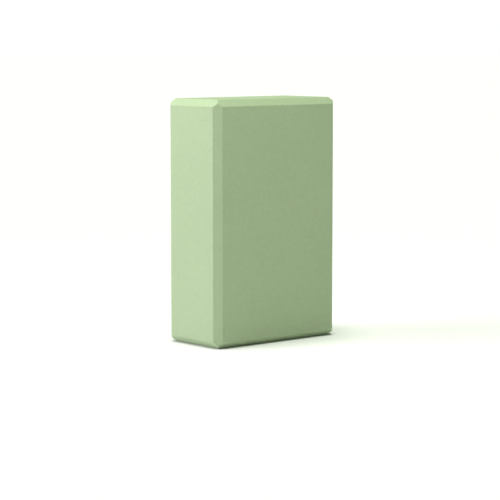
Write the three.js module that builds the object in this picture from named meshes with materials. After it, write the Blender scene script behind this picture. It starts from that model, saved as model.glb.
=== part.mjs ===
// Foam yoga block: one solid piece of closed-cell EVA foam, sawn square and bevelled along all twelve
// edges. It has no skin, core, joint or fastener, so the whole block is one mesh.
//
// Millimetres, +Z up. The block stands on one of its small ends with its wide faces looking along Y.
// The origin is the centre of the end that it stands on.

import * as THREE from "three";
import { ConvexGeometry } from "three/addons/geometries/ConvexGeometry.js";

// Driving dimensions
const WIDTH = 150; // along X, across a wide face
const THICKNESS = 75; // along Y, from one wide face to the other
const HEIGHT = 230; // along Z, the block's longest side, stood upright
const BEVEL = 6.4; // leg of the 45 degree bevel, measured along each of the two faces that it joins

// Foam finish
const FOAM_GREEN = 0xa8bc95;
const FOAM_ROUGHNESS = 0.74;

// A corner of the block has four points. Three are corners of the flat faces that meet there, each set
// in by one leg of the bevel along its own face. The fourth is the mitre where the three bevels meet,
// which lies half a leg in from all three faces.
function cornerPoints(corner, signs) {
  const point = (insetX, insetY, insetZ) =>
    corner.clone().sub(new THREE.Vector3(insetX, insetY, insetZ).multiply(signs));
  return [
    point(0, BEVEL, BEVEL),
    point(BEVEL, 0, BEVEL),
    point(BEVEL, BEVEL, 0),
    point(BEVEL / 2, BEVEL / 2, BEVEL / 2),
  ];
}

// The block is convex, so it is the hull of the points of its eight corners.
function bevelledBlock() {
  const halfSize = new THREE.Vector3(WIDTH, THICKNESS, HEIGHT).divideScalar(2);
  const points = [];
  for (const x of [-1, 1])
    for (const y of [-1, 1])
      for (const z of [-1, 1]) {
        const signs = new THREE.Vector3(x, y, z);
        points.push(...cornerPoints(halfSize.clone().multiply(signs), signs));
      }
  return new ConvexGeometry(points);
}

const foamBlock = new THREE.Mesh(
  bevelledBlock(),
  new THREE.MeshStandardMaterial({ color: FOAM_GREEN, roughness: FOAM_ROUGHNESS, metalness: 0 }),
);
foamBlock.name = "foam_block";
foamBlock.position.z = HEIGHT / 2;

const yogaBlock = new THREE.Group();
yogaBlock.add(foamBlock);

export default yogaBlock;
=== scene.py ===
"""Foam yoga block: the looks of one bevelled block of closed-cell EVA foam, built around its CAD model.

Metres, +Z up, in the CAD model's frame. The block stands on one of its small ends, its wide faces look
along Y and its narrow sides along X.
"""

import math

import bpy
from bpy.props import FloatProperty, FloatVectorProperty, PointerProperty
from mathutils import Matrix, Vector


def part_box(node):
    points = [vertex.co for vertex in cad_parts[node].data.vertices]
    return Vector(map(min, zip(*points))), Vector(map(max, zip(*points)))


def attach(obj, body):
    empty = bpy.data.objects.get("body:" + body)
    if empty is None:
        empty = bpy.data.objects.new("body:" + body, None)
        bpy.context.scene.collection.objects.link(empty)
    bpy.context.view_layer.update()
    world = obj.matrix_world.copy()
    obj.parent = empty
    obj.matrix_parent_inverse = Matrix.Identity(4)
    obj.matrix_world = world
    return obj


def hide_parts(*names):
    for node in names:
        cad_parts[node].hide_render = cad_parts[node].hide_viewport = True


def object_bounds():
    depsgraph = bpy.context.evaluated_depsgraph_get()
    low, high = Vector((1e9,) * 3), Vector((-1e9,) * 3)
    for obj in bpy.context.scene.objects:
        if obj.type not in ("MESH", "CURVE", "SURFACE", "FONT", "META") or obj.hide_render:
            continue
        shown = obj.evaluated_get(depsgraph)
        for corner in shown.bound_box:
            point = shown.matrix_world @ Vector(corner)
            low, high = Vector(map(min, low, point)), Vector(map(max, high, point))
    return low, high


bl_info = {
    "name": "Foam Yoga Block",
    "version": (1, 0, 0),
    "blender": (4, 5, 0),
    "location": "3D View > Sidebar > Yoga Block",
    "description": "Builds a bevelled foam yoga block and a plain studio to look at it in",
    "category": "Object",
}

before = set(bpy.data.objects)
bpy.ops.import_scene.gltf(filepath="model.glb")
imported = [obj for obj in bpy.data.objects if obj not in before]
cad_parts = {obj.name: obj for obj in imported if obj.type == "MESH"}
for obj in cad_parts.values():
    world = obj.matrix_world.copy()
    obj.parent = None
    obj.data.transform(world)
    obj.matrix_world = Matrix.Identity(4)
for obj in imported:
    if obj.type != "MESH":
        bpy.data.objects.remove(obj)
cad_low, cad_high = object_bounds()
cad_size = cad_high - cad_low
cad_centre = (cad_low + cad_high) / 2

BLOCK_NODE = "foam_block"
BLOCK_BODY = "root"
MILLIMETRE = 0.001
SAME_PLANE = 0.01 * MILLIMETRE  # points this close in height count as level


def bevel_leg(node):
    """Leg of the bevel: how far the flat top of a CAD node stops short of its side."""
    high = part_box(node)[1]
    on_top = [v.co.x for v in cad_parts[node].data.vertices if high.z - v.co.z < SAME_PLANE]
    return high.x - max(on_top)


# ---------------------------------------------------------------------------------------------------
# Node trees, written as expressions


class Wire:
    """One output socket of a node. Arithmetic on it adds the Math nodes that work the answer out."""

    def __init__(self, board, socket):
        self.board = board
        self.socket = socket

    def __add__(self, other):
        return self.board.math("ADD", self, other)

    def __radd__(self, other):
        return self.board.math("ADD", other, self)

    def __sub__(self, other):
        return self.board.math("SUBTRACT", self, other)

    def __rsub__(self, other):
        return self.board.math("SUBTRACT", other, self)

    def __mul__(self, other):
        return self.board.math("MULTIPLY", self, other)

    def __rmul__(self, other):
        return self.board.math("MULTIPLY", other, self)

    def __truediv__(self, other):
        return self.board.math("DIVIDE", self, other)

    def __rtruediv__(self, other):
        return self.board.math("DIVIDE", other, self)

    def __neg__(self):
        return self.board.math("MULTIPLY", self, -1.0)

    def axes(self):
        """The three numbers of a vector, each as a wire of its own."""
        return self.board.outputs("ShaderNodeSeparateXYZ", {}, {"Vector": self})


def on_all_axes(value):
    """A plain number as a vector. Anything else stays as it is."""
    return Vector((value, value, value)) if isinstance(value, (int, float)) else value


def is_vector(value):
    """True for a vector, and for a wire that carries one."""
    return isinstance(value, Vector) or (isinstance(value, Wire) and value.socket.type == "VECTOR")


class Board:
    """A node tree that is being written. Each node stands to the right of the nodes that feed it."""

    COLUMN_WIDTH = 190
    ROW_HEIGHT = 190

    def __init__(self, tree):
        self.tree = tree
        self.column_of = {}
        self.rows_in = {}

    def place(self, node, feeders):
        """Sets a node in the first column after its feeders, below what is there already."""
        column = 1 + max((self.column_of[wire.socket.node.name] for wire in feeders), default=0)
        row = self.rows_in.get(column, 0)
        self.rows_in[column] = row + 1
        self.column_of[node.name] = column
        node.location = (column * self.COLUMN_WIDTH, -row * self.ROW_HEIGHT)

    def outputs(self, kind, settings, sockets):
        """Adds a node: its settings first, then the value or link of each socket. Gives all its outputs."""
        node = self.tree.nodes.new(kind)
        for name, value in settings.items():
            setattr(node, name, value)
        for key, value in sockets.items():
            if isinstance(value, Wire):
                self.tree.links.new(value.socket, node.inputs[key])
            else:
                node.inputs[key].default_value = value
        self.place(node, [value for value in sockets.values() if isinstance(value, Wire)])
        return [Wire(self, socket) for socket in node.outputs]

    def node(self, kind, settings=None, sockets=None, output=0):
        """Adds a node and gives one of its outputs."""
        return self.outputs(kind, settings or {}, sockets or {})[output]

    def math(self, operation, *values):
        """A Math node, or a Vector Math node where one of the values is a vector."""
        if any(is_vector(value) for value in values):
            values = [on_all_axes(value) for value in values]
            return self.node("ShaderNodeVectorMath", {"operation": operation}, dict(enumerate(values)))
        return self.node("ShaderNodeMath", {"operation": operation}, dict(enumerate(values)))

    def vector(self, x, y, z):
        """A vector from three numbers or wires."""
        return self.node("ShaderNodeCombineXYZ", {}, {"X": x, "Y": y, "Z": z})

    def spread(self, number):
        """The number that a wire carries, on all three axes of a vector."""
        return self.vector(number, number, number)

    def ramp(self, value, start, end, low=0.0, high=1.0, kind="LINEAR"):
        """Low up to start, high from end on, and changing in between. A vector is ramped axis by axis."""
        settings = {"interpolation_type": kind}
        if not is_vector(value):
            sockets = dict(enumerate((value, start, end, low, high)))
            return self.node("ShaderNodeMapRange", settings, sockets)
        settings["data_type"] = "FLOAT_VECTOR"
        first = 6  # the sockets for vectors come after the ones for numbers
        sockets = dict(enumerate((value, *map(on_all_axes, (start, end, low, high))), first))
        return self.node("ShaderNodeMapRange", settings, sockets, output=1)

    def mix_colours(self, first, second, share):
        """The first colour at share 0, and the second at share 1."""
        return self.node("ShaderNodeMix", {"data_type": "RGBA"}, {0: share, 6: first, 7: second}, output=2)


# ---------------------------------------------------------------------------------------------------
# The block's shape

ARRIS_CLOSENESS = "arris_closeness"  # attribute: 1 on an arris, fading to 0 on the flats; the foam paints a highlight with it
BEVEL_CUT = "bevel_cut"  # attribute: 1 on a bevel, 0 on a face
BEVEL_STEPS = 7  # grid cells from the middle of a bevel to where its arris begins to turn
ARRIS_STEPS = 10  # grid cells across a soft arris
ARRIS_MASK_REACH = 5.0  # how many times wider the arris mask, which carries a painted highlight, is than the soft arris
SETTLING_ROUNDS = 2  # how often a point is moved closer to the soft surface

# A bevel meets a face at 45 degrees. Where two such planes are blended by a smooth maximum, the radius
# of the bend is this many times the softness of the blend.
HALF_BEND = math.radians(45) / 2
RADIUS_PER_SOFTNESS = math.cos(HALF_BEND) / math.sin(HALF_BEND) ** 2
SLANT = math.sqrt(0.5)  # both parts of the outward direction of a bevel


def total_of(wires):
    """The sum of several wires."""
    return sum(wires[1:], wires[0])


def plane_counts(board, inset, bevel, softness):
    """How much each plane round a corner counts at a point: 1 on the plane, and less the further inside.

    The point is given by how far in it lies from the three faces. The three faces come first, and then
    the three bevels, each in the place of the face that it doesn't touch.
    """
    x, y, z = inset.axes()
    heights = [-x, -y, -z, (bevel - y - z) * SLANT, (bevel - x - z) * SLANT, (bevel - x - y) * SLANT]
    return [board.math("EXPONENT", height / softness) for height in heights]


def settle(board, inset, bevel, softness, sink):
    """Moves a point square to the surface until it is on the block with soft arrises, or sunk into it."""
    counts = plane_counts(board, inset, bevel, softness)
    faces, bevels = counts[:3], counts[3:]
    total = total_of(counts)
    on_bevels = total_of(bevels)
    parts = [(face + (on_bevels - own) * SLANT) / total for face, own in zip(faces, bevels)]
    outward = board.vector(*parts)
    height = softness * board.math("LOGARITHM", total, math.e) + sink
    dot_product = {"operation": "DOT_PRODUCT"}
    steepness = board.node("ShaderNodeVectorMath", dot_product, {0: outward, 1: outward}, output=1)
    return inset + outward * board.spread(height / steepness)


def bevelled_block_tree():
    """Geometry Nodes: a block bevelled along every edge, with soft arrises and a faint relief."""
    tree = bpy.data.node_groups.new("bevelled_foam_block", "GeometryNodeTree")
    tree.is_modifier = True
    lengths = ("Width", "Thickness", "Height", "Bevel", "Arris Radius", "Relief Depth", "Relief Spacing")
    for name in (*lengths, "Grid Spacing"):
        socket = tree.interface.new_socket(name, in_out="INPUT", socket_type="NodeSocketFloat")
        socket.subtype = "DISTANCE"
    tree.interface.new_socket("Seed", in_out="INPUT", socket_type="NodeSocketFloat")
    tree.interface.new_socket("Material", in_out="INPUT", socket_type="NodeSocketMaterial")
    tree.interface.new_socket("Geometry", in_out="OUTPUT", socket_type="NodeSocketGeometry")

    board = Board(tree)
    given = {wire.socket.name: wire for wire in board.outputs("NodeGroupInput", {}, {})}
    bevel = given["Bevel"]
    arris = given["Arris Radius"]
    half = board.vector(given["Width"], given["Thickness"], given["Height"]) * 0.5

    # A closed grid on a cube, which becomes fine across the arrises and even over the flat faces
    flat = half - board.spread(bevel + arris)
    steps = board.math("CEIL", flat / board.spread(given["Grid Spacing"])) + (BEVEL_STEPS + ARRIS_STEPS)
    lines = (steps * 2 + 1).axes()
    sockets = {"Vertices X": lines[0], "Vertices Y": lines[1], "Vertices Z": lines[2]}
    cube = board.node("GeometryNodeMeshCube", {}, sockets | {"Size": Vector((1, 1, 1))})
    place = board.node("GeometryNodeInputPosition")
    side = board.math("SIGN", place)
    step = board.math("FLOOR", (0.5 - board.math("ABSOLUTE", place)) * steps * 2 + 0.5)

    # How far in from the block's own sides each grid line lies. The outermost is the middle of a bevel.
    arris_start = BEVEL_STEPS
    arris_end = BEVEL_STEPS + ARRIS_STEPS
    line = (
        board.spread(bevel * 0.5)
        + board.ramp(step, 0, arris_start, 0, board.spread(bevel * 0.5 - arris))
        + board.ramp(step, arris_start, arris_end, 0, board.spread(arris * 2))
        + board.ramp(step, arris_end, steps, 0, flat)
    )

    # A point on the outside of the grid is level with its face, or as far in as a bevel takes it
    x, y, z = board.math("MAXIMUM", board.spread(bevel) - line, 0).axes()
    by_bevel = board.vector(*(board.math("MAXIMUM", a, b) for a, b in ((y, z), (x, z), (x, y))))
    outside = board.ramp(step, 0, 1, 1, 0)
    inset = line + outside * (by_bevel - line)

    # What the material reads
    softness = arris / RADIUS_PER_SOFTNESS
    near_arris = board.math("LOGARITHM", total_of(plane_counts(board, inset, bevel, softness * ARRIS_MASK_REACH)), 2)
    counts = plane_counts(board, inset, bevel, softness)
    cut = total_of(counts[3:]) / total_of(counts)

    # The relief only goes inwards, so that the block stays inside its size
    sockets = {
        "Vector": side * (half - inset),
        "W": given["Seed"],
        "Scale": 1 / given["Relief Spacing"],
        "Detail": 2,
        "Roughness": 0.4,
    }
    waves = board.node("ShaderNodeTexNoise", {"noise_dimensions": "4D"}, sockets)
    sink = board.ramp(waves, 0.2, 0.8, 0, given["Relief Depth"])
    for _ in range(SETTLING_ROUNDS):
        inset = settle(board, inset, bevel, softness, sink)

    standing = board.vector(0, 0, given["Height"] * 0.5) + side * (half - inset)
    shape = board.node("GeometryNodeSetPosition", {}, {"Geometry": cube, "Position": standing})
    for name, value in ((ARRIS_CLOSENESS, near_arris), (BEVEL_CUT, cut)):
        settings = {"data_type": "FLOAT", "domain": "POINT"}
        sockets = {"Geometry": shape, "Name": name, "Value": value}
        shape = board.node("GeometryNodeStoreNamedAttribute", settings, sockets)
    shape = board.node("GeometryNodeSetShadeSmooth", {}, {"Geometry": shape})
    shape = board.node("GeometryNodeRealizeInstances", {}, {"Geometry": shape})
    shape = board.node("GeometryNodeSetMaterial", {}, {"Geometry": shape, "Material": given["Material"]})
    board.outputs("NodeGroupOutput", {}, {"Geometry": shape})
    return tree


def block_mesh(settings, material):
    """The block as a plain mesh: what the tree makes on an empty carrier, which is then thrown away."""
    tree = bevelled_block_tree()
    carrier = bpy.data.objects.new("block_carrier", bpy.data.meshes.new("block_carrier"))
    bpy.context.scene.collection.objects.link(carrier)
    modifier = carrier.modifiers.new("Bevelled foam block", "NODES")
    modifier.node_group = tree
    values = {
        "Width": settings.width,
        "Thickness": settings.thickness,
        "Height": settings.height,
        "Bevel": settings.bevel,
        "Arris Radius": settings.arris_radius,
        "Relief Depth": settings.relief_depth,
        "Relief Spacing": settings.relief_spacing,
        "Grid Spacing": settings.grid_spacing,
        "Seed": settings.seed,
        "Material": material,
    }
    for socket in tree.interface.items_tree:
        if socket.in_out == "INPUT":
            modifier[socket.identifier] = values[socket.name]
    evaluated = carrier.evaluated_get(bpy.context.evaluated_depsgraph_get())
    mesh = bpy.data.meshes.new_from_object(evaluated)
    bpy.data.objects.remove(carrier)
    return mesh


# ---------------------------------------------------------------------------------------------------
# The foam

DRIFT_SIZE = 60 * MILLIMETRE  # slow change of tone over a face
CLOUD_SIZE = 9 * MILLIMETRE
MOTTLE_SIZE = 3.2 * MILLIMETRE
GRAIN_SIZE = 1.3 * MILLIMETRE
CELL_SIZE = 1.1 * MILLIMETRE  # a cluster of cells; a single one is too fine to see
PORE_SPACING = 3 * MILLIMETRE
PORE_RADIUS = 0.32 * MILLIMETRE
PORE_SHARE = 0.6  # how many of the places that could have a pore do
PINHOLE_SPACING = 14 * MILLIMETRE
PINHOLE_RADIUS = 0.5 * MILLIMETRE
PINHOLE_SHARE = 0.3
PIT_FLOOR = 0.3  # share of a pore's or pinhole's radius that is its flat bottom
KNIFE_SPACING = 2.4 * MILLIMETRE  # between the lines that the slicing knife left across the block
KNIFE_LENGTH = 40  # how many times longer than apart they are
GRAIN_DEPTH = 0.14 * MILLIMETRE  # of a relief of 1, as the bump shows it


def foam_material(settings):
    """Closed-cell EVA foam, sliced smooth: matt, with a fine cell grain, pores and faint knife lines,
    painted shade in the pores and pinholes, and a painted highlight along the arrises.
    """
    material = bpy.data.materials.new("sage_eva_foam")
    material.use_nodes = True
    material.node_tree.nodes.clear()
    board = Board(material.node_tree)
    place = board.node("ShaderNodeTexCoord", output=3)

    def noise(size, vector=place):
        """Smooth noise round 0, with bumps of about the given size."""
        return board.node("ShaderNodeTexNoise", {}, {"Vector": vector, "Scale": 1 / size}) - 0.5

    def pits(spacing, radius, share):
        """Round pits, 1 at their middles and 0 between them, in the given share of their places."""
        spots = board.outputs("ShaderNodeTexVoronoi", {}, {"Vector": place, "Scale": 1 / spacing})
        chance = board.node("ShaderNodeSeparateColor", {}, {"Color": spots[1]})
        reach = radius / spacing
        depth = board.ramp(spots[0], PIT_FLOOR * reach, reach, 1, 0, "SMOOTHSTEP")
        return board.math("LESS_THAN", chance, share) * depth

    # Closeness to an arris: it paints a highlight into the colour, and makes the arris a little less rough
    near_arris = board.ramp(board.node("ShaderNodeAttribute", {"attribute_name": ARRIS_CLOSENESS}, output=2), 0, 1)
    cut = board.node("ShaderNodeAttribute", {"attribute_name": BEVEL_CUT}, output=2)
    drift = noise(DRIFT_SIZE)
    cloud = noise(CLOUD_SIZE)
    mottle = noise(MOTTLE_SIZE)
    grain = noise(GRAIN_SIZE)
    cells = 0.5 - board.node("ShaderNodeTexVoronoi", {}, {"Vector": place, "Scale": 1 / CELL_SIZE})
    level = Vector((1 / KNIFE_LENGTH, 1 / KNIFE_LENGTH, 1))
    knife = noise(KNIFE_SPACING, board.node("ShaderNodeMapping", {}, {"Vector": place, "Scale": level}))
    pores = pits(PORE_SPACING, PORE_RADIUS, PORE_SHARE)
    pinholes = pits(PINHOLE_SPACING, PINHOLE_RADIUS, PINHOLE_SHARE)

    # Tone 0.5 is the foam's own colour, between its deepest shade at 0 and its palest at 1. Pores and
    # pinholes make it darker: painted shade in the pits.
    tone = 0.5 + drift * 0.4 + cloud * 0.3 + mottle * 0.7 + grain * 0.7 + cells * 0.5 + knife * 0.15
    # Painted highlight: the colour is lightened along every arris
    tone = tone + near_arris * 0.1 - pores * 0.5 - pinholes * 0.8
    colour = board.mix_colours((*settings.deep_shade, 1), (*settings.pale_shade, 1), tone)
    rough = settings.roughness + mottle * 0.2 + grain * 0.2 - near_arris * 0.05 - cut * 0.03 + pores * 0.1
    relief = cells * 0.7 + grain * 0.9 + mottle * 1.2 + knife * 0.5 - pores * 2 - pinholes * 4
    bump = board.node("ShaderNodeBump", {}, {"Strength": 1, "Distance": GRAIN_DEPTH, "Height": relief})
    sockets = {
        "Base Color": colour,
        "Roughness": rough,
        "Normal": bump,
        "Specular IOR Level": 0.35,
        "Sheen Weight": 0.08,
        "Sheen Roughness": 0.6,
    }
    surface = board.node("ShaderNodeBsdfPrincipled", {}, sockets)
    board.outputs("ShaderNodeOutputMaterial", {}, {"Surface": surface})
    return material


# ---------------------------------------------------------------------------------------------------
# The stage

FLOOR_SIDES = 96
FLOOR_ROUGHNESS = 0.9
FLOOR_GLOSS = 0.1
SENSOR_WIDTH = 36  # millimetres, as Blender's cameras count it
WALL_TOP = math.radians(5)  # height of the room's white wall, seen from the block
CEILING_START = math.radians(9)  # the wall has faded into the ceiling here


def floor_material(colour):
    """Matt pale floor."""
    material = bpy.data.materials.new("pale_floor")
    material.use_nodes = True
    shader = material.node_tree.nodes["Principled BSDF"]
    shader.inputs["Base Color"].default_value = (*colour, 1)
    shader.inputs["Roughness"].default_value = FLOOR_ROUGHNESS
    shader.inputs["Specular IOR Level"].default_value = FLOOR_GLOSS
    return material


def make_floor(settings):
    """A round floor, level with the end that the block stands on."""
    turns = [i * 2 * math.pi / FLOOR_SIDES for i in range(FLOOR_SIDES)]
    radius = settings.floor_radius
    rim = [(math.cos(turn) * radius, math.sin(turn) * radius, cad_low.z) for turn in turns]
    mesh = bpy.data.meshes.new("studio_floor")
    mesh.from_pydata(rim, [], [range(FLOOR_SIDES)])
    mesh.materials.append(floor_material(settings.floor_colour))
    floor = bpy.data.objects.new("studio_floor", mesh)
    bpy.context.scene.collection.objects.link(floor)


def direction_from(azimuth, elevation):
    """Where something stands, seen from the block. Azimuth 0 is on the -Y side, and 90 on the +X side."""
    level = math.cos(elevation)
    return Vector((math.sin(azimuth) * level, -math.cos(azimuth) * level, math.sin(elevation)))


def add_light(kind, name, towards, distance, lamp_settings):
    """A light that shines at the middle of the block, and doesn't show itself to the camera."""
    lamp = bpy.data.lights.new(name, kind)
    for setting, value in lamp_settings.items():
        setattr(lamp, setting, value)
    light = bpy.data.objects.new(name, lamp)
    light.location = cad_centre + towards * distance
    light.rotation_euler = towards.to_track_quat("Z", "Y").to_euler()
    light.visible_camera = False
    bpy.context.scene.collection.objects.link(light)


def make_lights(settings):
    """A broad key light from the left and behind, another overhead, and two small softboxes close by."""
    key = {"energy": settings.key_strength, "angle": settings.key_spread, "color": settings.key_colour}
    towards = direction_from(settings.key_azimuth, settings.key_elevation)
    add_light("SUN", "key_light", towards, settings.light_distance, key)
    top = {"energy": settings.top_strength, "angle": settings.top_spread, "color": settings.top_colour}
    add_light("SUN", "top_light", Vector((0, 0, 1)), settings.light_distance, top)

    side = {"energy": settings.side_power, "size": settings.softbox_size}
    towards = direction_from(settings.side_azimuth, settings.side_elevation)
    add_light("AREA", "side_softbox", towards, settings.softbox_distance, side)
    front = {"energy": settings.front_power, "size": settings.softbox_size}
    towards = direction_from(settings.front_azimuth, settings.front_elevation)
    add_light("AREA", "front_softbox", towards, settings.softbox_distance, front)


def make_room(settings):
    """The world: a pale wall all the way round, low down, and a nearly dark ceiling over it."""
    world = bpy.data.worlds.new("pale_room")
    world.use_nodes = True
    world.node_tree.nodes.clear()
    board = Board(world.node_tree)
    height = board.node("ShaderNodeTexCoord").axes()[2]
    ceiling = board.ramp(height, math.sin(WALL_TOP), math.sin(CEILING_START), kind="SMOOTHSTEP")
    strength = settings.wall_strength + ceiling * (settings.ceiling_strength - settings.wall_strength)
    light = board.node("ShaderNodeBackground", {}, {"Color": (1, 1, 1, 1), "Strength": strength})
    board.outputs("ShaderNodeOutputWorld", {}, {"Surface": light})
    bpy.context.scene.world = world


def make_camera(settings):
    """The camera. It aims a little to one side of the block's middle and below it."""
    towards = direction_from(settings.camera_azimuth, settings.camera_elevation)
    lens = bpy.data.cameras.new("camera")
    lens.sensor_width = SENSOR_WIDTH
    lens.lens = settings.focal_length
    camera = bpy.data.objects.new("camera", lens)
    camera.location = cad_centre + towards * settings.camera_distance
    upright = towards.to_track_quat("Z", "Y")
    aim = cad_centre - upright @ Vector((settings.block_right, settings.block_above, 0))
    camera.rotation_euler = (camera.location - aim).to_track_quat("Z", "Y").to_euler()
    bpy.context.scene.collection.objects.link(camera)
    bpy.context.scene.camera = camera


# ---------------------------------------------------------------------------------------------------
# The add-on


class YogaBlockSettings(bpy.types.PropertyGroup):
    """Sizes, surface and colours of the foam block."""

    width: FloatProperty(
        name="Width", description="Across a wide face", default=cad_size.x, min=0.02, unit="LENGTH"
    )
    thickness: FloatProperty(
        name="Thickness",
        description="From one wide face to the other",
        default=cad_size.y,
        min=0.02,
        unit="LENGTH",
    )
    height: FloatProperty(
        name="Height",
        description="Longest side, stood upright",
        default=cad_size.z,
        min=0.02,
        unit="LENGTH",
    )
    bevel: FloatProperty(
        name="Bevel",
        description="Leg of the 45 degree bevel along every edge",
        default=bevel_leg(BLOCK_NODE),
        min=0.001,
        unit="LENGTH",
    )
    arris_radius: FloatProperty(
        name="Arris Radius",
        description="Radius of the soft turn where a bevel meets a face",
        default=0.65 * MILLIMETRE,
        min=0.0001,
        precision=5,
        unit="LENGTH",
    )
    relief_depth: FloatProperty(
        name="Relief Depth",
        description="Deepest that the slow unevenness of a sawn face goes",
        default=0.07 * MILLIMETRE,
        min=0.0,
        precision=5,
        unit="LENGTH",
    )
    relief_spacing: FloatProperty(
        name="Relief Spacing",
        description="From one high place of a sawn face to the next",
        default=35 * MILLIMETRE,
        min=0.005,
        unit="LENGTH",
    )
    grid_spacing: FloatProperty(
        name="Grid Spacing",
        description="Size of the mesh's faces on the flats",
        default=1.8 * MILLIMETRE,
        min=0.001,
        precision=4,
        unit="LENGTH",
    )
    seed: FloatProperty(name="Seed", description="Picks another relief", default=3.0)
    roughness: FloatProperty(
        name="Roughness",
        description="How matt the foam is",
        default=0.74,
        min=0.0,
        max=1.0,
        subtype="FACTOR",
    )
    deep_shade: FloatVectorProperty(
        name="Deep Shade",
        description="Colour of the foam where it is darkest",
        default=(0.3579, 0.4628, 0.2751),
        min=0.0,
        max=1.0,
        subtype="COLOR",
    )
    pale_shade: FloatVectorProperty(
        name="Pale Shade",
        description="Colour of the foam where it is lightest",
        default=(0.4201, 0.5432, 0.3229),
        min=0.0,
        max=1.0,
        subtype="COLOR",
    )


class StudioSettings(bpy.types.PropertyGroup):
    """Floor, light and camera."""

    floor_radius: FloatProperty(
        name="Floor Radius", description="Radius of the floor", default=30.0, min=1.0, unit="LENGTH"
    )
    floor_colour: FloatVectorProperty(
        name="Floor Colour", description="Colour of the floor", default=(0.88, 0.88, 0.89), subtype="COLOR"
    )
    light_distance: FloatProperty(
        name="Light Distance",
        description="How far away the two broad lights stand",
        default=2.0,
        unit="LENGTH",
    )
    key_azimuth: FloatProperty(
        name="Key Azimuth",
        description="Where the key light stands, from -Y towards +X",
        default=math.radians(-118),
        unit="ROTATION",
    )
    key_elevation: FloatProperty(
        name="Key Elevation",
        description="How high the key light is",
        default=math.radians(20),
        unit="ROTATION",
    )
    key_spread: FloatProperty(
        name="Key Spread",
        description="How wide the key light looks",
        default=math.radians(40),
        unit="ROTATION",
    )
    key_strength: FloatProperty(name="Key Strength", description="Strength of the key light", default=1.7)
    key_colour: FloatVectorProperty(
        name="Key Colour", description="Colour of the key light", default=(0.93, 0.84, 1.0), subtype="COLOR"
    )
    top_spread: FloatProperty(
        name="Top Spread",
        description="How wide the top light looks",
        default=math.radians(30),
        unit="ROTATION",
    )
    top_strength: FloatProperty(name="Top Strength", description="Strength of the top light", default=3.35)
    top_colour: FloatVectorProperty(
        name="Top Colour", description="Colour of the top light", default=(0.94, 1.0, 0.86), subtype="COLOR"
    )
    softbox_distance: FloatProperty(
        name="Softbox Distance", description="From the block's middle", default=0.4, min=0.2, unit="LENGTH"
    )
    softbox_size: FloatProperty(
        name="Softbox Size", description="Side of each softbox", default=0.2, min=0.02, unit="LENGTH"
    )
    side_azimuth: FloatProperty(
        name="Side Azimuth",
        description="Where the side softbox stands, from -Y towards +X",
        default=math.radians(-130),
        unit="ROTATION",
    )
    side_elevation: FloatProperty(
        name="Side Elevation",
        description="How high the side softbox is",
        default=math.radians(30),
        unit="ROTATION",
    )
    side_power: FloatProperty(name="Side Power", description="Power of the side softbox", default=0.285)
    front_azimuth: FloatProperty(
        name="Front Azimuth",
        description="Where the front softbox stands, from -Y towards +X",
        default=math.radians(-45),
        unit="ROTATION",
    )
    front_elevation: FloatProperty(
        name="Front Elevation",
        description="How high the front softbox is",
        default=math.radians(50),
        unit="ROTATION",
    )
    front_power: FloatProperty(name="Front Power", description="Power of the front softbox", default=0.19)
    wall_strength: FloatProperty(
        name="Wall Strength", description="Brightness of the room's wall", default=1.02
    )
    ceiling_strength: FloatProperty(
        name="Ceiling Strength", description="Brightness of the room's ceiling", default=0.02
    )
    camera_azimuth: FloatProperty(
        name="Camera Azimuth",
        description="Where the camera stands, from -Y towards +X",
        default=math.radians(-40.63),
        unit="ROTATION",
    )
    camera_elevation: FloatProperty(
        name="Camera Elevation",
        description="How far above the block's middle the camera is",
        default=math.radians(5.31),
        unit="ROTATION",
    )
    camera_distance: FloatProperty(
        name="Camera Distance", description="From the block's middle", default=1.833, min=0.2, unit="LENGTH"
    )
    focal_length: FloatProperty(
        name="Focal Length", description="In millimetres", default=138.3, min=10.0, unit="CAMERA"
    )
    block_right: FloatProperty(
        name="Block Right",
        description="How far right of the picture's middle the block's middle is",
        default=2.7 * MILLIMETRE,
        precision=4,
        unit="LENGTH",
    )
    block_above: FloatProperty(
        name="Block Above",
        description="How far above the picture's middle the block's middle is",
        default=30.25 * MILLIMETRE,
        precision=4,
        unit="LENGTH",
    )


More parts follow.
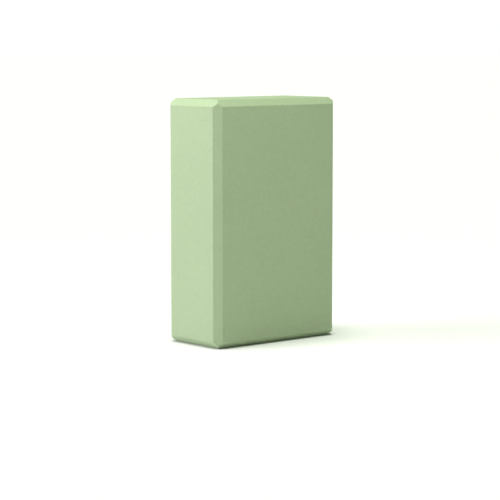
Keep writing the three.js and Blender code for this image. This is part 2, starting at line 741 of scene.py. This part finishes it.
class YOGABLOCK_OT_add_foam_block(bpy.types.Operator):
    """Adds the foam block, in place of its CAD solid"""

    bl_idname = "yoga_block.add_foam_block"
    bl_label = "Add Foam Block"

    def execute(self, context):
        settings = context.scene.yoga_block
        flats = min(settings.width, settings.thickness, settings.height) - 2 * settings.bevel
        if flats <= 4 * settings.arris_radius:
            raise RuntimeError("The bevels leave no flat face: make them narrower, or the block thicker")
        block = bpy.data.objects.new("foam_yoga_block", block_mesh(settings, foam_material(settings)))
        context.scene.collection.objects.link(block)
        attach(block, BLOCK_BODY)
        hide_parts(BLOCK_NODE)
        return {"FINISHED"}


class YOGABLOCK_OT_add_studio(bpy.types.Operator):
    """Adds the floor, the room, the lights and the camera"""

    bl_idname = "yoga_block.add_studio"
    bl_label = "Add Studio"

    def execute(self, context):
        settings = context.scene.yoga_studio
        make_floor(settings)
        make_room(settings)
        make_lights(settings)
        make_camera(settings)
        context.scene.view_settings.view_transform = "Standard"
        return {"FINISHED"}


class YOGABLOCK_PT_panel(bpy.types.Panel):
    """Lists the settings and the operators that use them"""

    bl_idname = "YOGABLOCK_PT_panel"
    bl_label = "Yoga Block"
    bl_space_type = "VIEW_3D"
    bl_region_type = "UI"
    bl_category = "Yoga Block"

    def draw(self, context):
        steps = (
            (context.scene.yoga_block, YOGABLOCK_OT_add_foam_block),
            (context.scene.yoga_studio, YOGABLOCK_OT_add_studio),
        )
        for settings, operator in steps:
            box = self.layout.box()
            for name in settings.__annotations__:
                box.prop(settings, name)
            box.operator(operator.bl_idname)


CLASSES = (
    YogaBlockSettings,
    StudioSettings,
    YOGABLOCK_OT_add_foam_block,
    YOGABLOCK_OT_add_studio,
    YOGABLOCK_PT_panel,
)


def register():
    for each in CLASSES:
        bpy.utils.register_class(each)
    bpy.types.Scene.yoga_block = PointerProperty(type=YogaBlockSettings)
    bpy.types.Scene.yoga_studio = PointerProperty(type=StudioSettings)


def unregister():
    del bpy.types.Scene.yoga_studio
    del bpy.types.Scene.yoga_block
    for each in reversed(CLASSES):
        bpy.utils.unregister_class(each)


def main():
    register()
    bpy.ops.yoga_block.add_foam_block()
    bpy.ops.yoga_block.add_studio()


if __name__ == "__main__":
    main()
